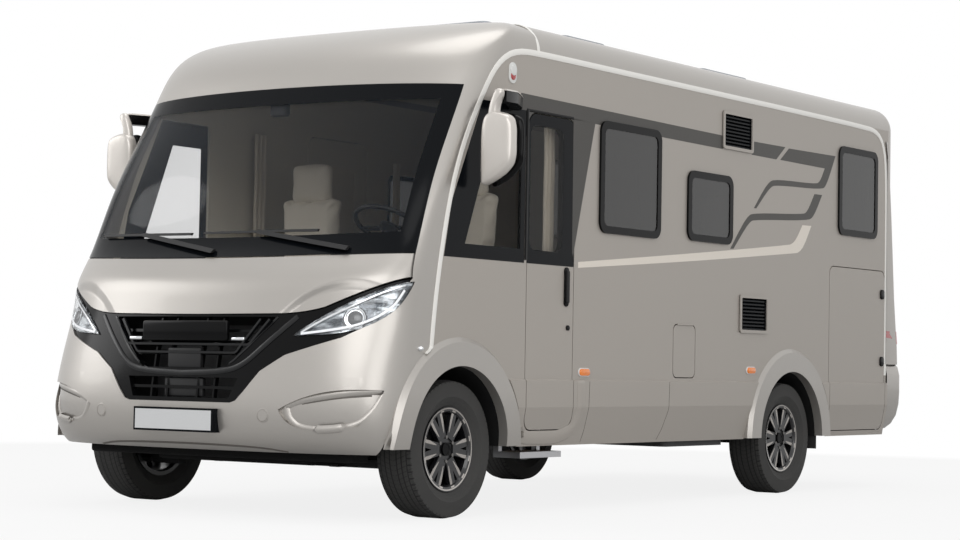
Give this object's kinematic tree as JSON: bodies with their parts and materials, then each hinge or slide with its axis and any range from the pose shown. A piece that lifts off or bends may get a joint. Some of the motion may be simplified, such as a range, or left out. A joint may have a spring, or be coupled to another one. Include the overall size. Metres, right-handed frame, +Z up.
{
  "type": "motorhome",
  "caption": "Integrated motorhome with a panoramic windshield, opening doors, garage flaps, bonnet and roof lights, steering and rolling wheels and a hollow cabin",
  "frame": {"origin": "on the ground, under the middle of the overall box", "axes": "+X the driver's side (left), +Y to the rear, +Z up; the nose faces -Y"},
  "size_m": [2.96, 6.6, 2.8429],
  "materials": {
    "body_paint": "champagne beige metallic, glossy, with dark grey bands, a cream lower stripe and white trim lines",
    "roof_paint": "off-white, satin",
    "tinted_glass": "dark tint",
    "lamp_lens": "clear",
    "lamp_reflector": "bright reflector with dark surround",
    "gloss_black": "gloss black",
    "black_plastic": "grained black",
    "white_plastic": "milky white",
    "red_lens": "clear red",
    "blank_plate": "plain grey, blank",
    "mirror_glass": "polished",
    "radiator_core": "dark finned core",
    "cabin_floor": "plank floor above, grey board below",
    "frame_steel": "black chassis paint, satin",
    "engine_iron": "rough cast",
    "tank_plastic": "dark grey",
    "flap_rubber": "matt",
    "seat_fabric": "beige cloth",
    "tyre_rubber": "matt black",
    "rim_black": "gloss black with bright machined spoke faces"
  },
  "bodies": {
    "coach": {"cab_seats": "seat_fabric", "cabin_floor": "cabin_floor", "chassis_frame": "frame_steel", "dashboard": "black_plastic", "engine_block": "engine_iron", "entry_steps": "frame_steel", "fixed_window_panes": "tinted_glass", "front_axle": "frame_steel", "front_bumper": "body_paint", "front_cap": "body_paint", "grille": "gloss_black", "headlamp_bowls": "lamp_reflector", "headlamp_lenses": "lamp_lens", "mirror_glasses": "mirror_glass", "mirrors": "gloss_black", "mudflaps": "flap_rubber", "number_plates": "blank_plate", "radiator": "radiator_core", "rear_axle": "frame_steel", "rear_bumper": "body_paint", "rear_wall": "body_paint", "roof": "roof_paint", "roof_light_frames": "black_plastic", "side_wall_left": "body_paint", "side_wall_right": "body_paint", "skirts": "body_paint", "steering_wheel": "black_plastic", "tail_lamps": "red_lens", "tanks": "tank_plastic", "wall_vents": "black_plastic", "wheel_arch_flares": "body_paint", "wheel_arch_liners": "black_plastic", "window_frames": "gloss_black", "windshield": "tinted_glass", "wipers": "black_plastic"},
    "driver_door": {"driver_door": "body_paint", "driver_door_glass": "tinted_glass"},
    "entry_door": {"entry_door": "body_paint", "entry_door_glass": "tinted_glass"},
    "garage_door_left": {"garage_door_left": "body_paint"},
    "garage_door_right": {"garage_door_right": "body_paint"},
    "service_flap": {"service_flap": "body_paint"},
    "bonnet": {"bonnet": "body_paint"},
    "roof_light_front": {"roof_light_lid_front": "white_plastic"},
    "roof_light_middle": {"roof_light_lid_middle": "white_plastic"},
    "roof_light_rear": {"roof_light_lid_rear": "white_plastic"},
    "knuckle_left": {"steering_knuckle_left": "frame_steel"},
    "knuckle_right": {"steering_knuckle_right": "frame_steel"},
    "wheel_front_left": {"tyre_front_left": "tyre_rubber", "rim_front_left": "rim_black"},
    "wheel_front_right": {"tyre_front_right": "tyre_rubber", "rim_front_right": "rim_black"},
    "wheel_rear_left": {"tyre_rear_left": "tyre_rubber", "rim_rear_left": "rim_black"},
    "wheel_rear_right": {"tyre_rear_right": "tyre_rubber", "rim_rear_right": "rim_black"}
  },
  "joints": [
    {"name": "steer_left", "type": "hinge", "parent": "coach", "child": "knuckle_left", "pos_m": [0.95, -2.36, 0.368], "axis": [0, 0, 1], "range_deg": [-35, 35]},
    {"name": "steer_right", "type": "hinge", "parent": "coach", "child": "knuckle_right", "pos_m": [-0.95, -2.36, 0.368], "axis": [0, 0, 1], "range_deg": [-35, 35]},
    {"name": "roll_front_left", "type": "hinge", "parent": "knuckle_left", "child": "wheel_front_left", "pos_m": [1.0325, -2.36, 0.368], "axis": [1, 0, 0], "continuous": true},
    {"name": "roll_front_right", "type": "hinge", "parent": "knuckle_right", "child": "wheel_front_right", "pos_m": [-1.0325, -2.36, 0.368], "axis": [1, 0, 0], "continuous": true},
    {"name": "roll_rear_left", "type": "hinge", "parent": "coach", "child": "wheel_rear_left", "pos_m": [1.0365, 1.49, 0.368], "axis": [1, 0, 0], "continuous": true},
    {"name": "roll_rear_right", "type": "hinge", "parent": "coach", "child": "wheel_rear_right", "pos_m": [-1.0365, 1.49, 0.368], "axis": [1, 0, 0], "continuous": true},
    {"name": "driver_door_hinge", "type": "hinge", "parent": "coach", "child": "driver_door", "pos_m": [1.203, -1.727, 1.35], "axis": [0, 0, -1], "range_deg": [0, 75]},
    {"name": "entry_door_hinge", "type": "hinge", "parent": "coach", "child": "entry_door", "pos_m": [-1.203, -0.173, 1.37], "axis": [0, 0, -1], "range_deg": [0, 90]},
    {"name": "garage_door_left_hinge", "type": "hinge", "parent": "coach", "child": "garage_door_left", "pos_m": [1.19, 2.52, 1.552], "axis": [0, -1, 0], "range_deg": [0, 85]},
    {"name": "garage_door_right_hinge", "type": "hinge", "parent": "coach", "child": "garage_door_right", "pos_m": [-1.19, 2.52, 1.552], "axis": [0, 1, 0], "range_deg": [0, 85]},
    {"name": "service_flap_hinge", "type": "hinge", "parent": "coach", "child": "service_flap", "pos_m": [1.194, 0.05, 1.094], "axis": [0, -1, 0], "range_deg": [0, 100]},
    {"name": "bonnet_hinge", "type": "hinge", "parent": "coach", "child": "bonnet", "pos_m": [0, -2.665, 1.7], "axis": [-1, 0, 0], "range_deg": [0, 35]},
    {"name": "roof_light_front_hinge", "type": "hinge", "parent": "coach", "child": "roof_light_front", "pos_m": [0.33, -0.8407, 2.781], "axis": [-1, 0, 0], "range_deg": [0, 50]},
    {"name": "roof_light_middle_hinge", "type": "hinge", "parent": "coach", "child": "roof_light_middle", "pos_m": [0.48, -0.2107, 2.781], "axis": [-1, 0, 0], "range_deg": [0, 50]},
    {"name": "roof_light_rear_hinge", "type": "hinge", "parent": "coach", "child": "roof_light_rear", "pos_m": [0.48, 1.6593, 2.781], "axis": [-1, 0, 0], "range_deg": [0, 50]}
  ],
  "couplings": [
    {"joint": "steer_right", "follows": "steer_left", "ratio": 1}
  ]
}
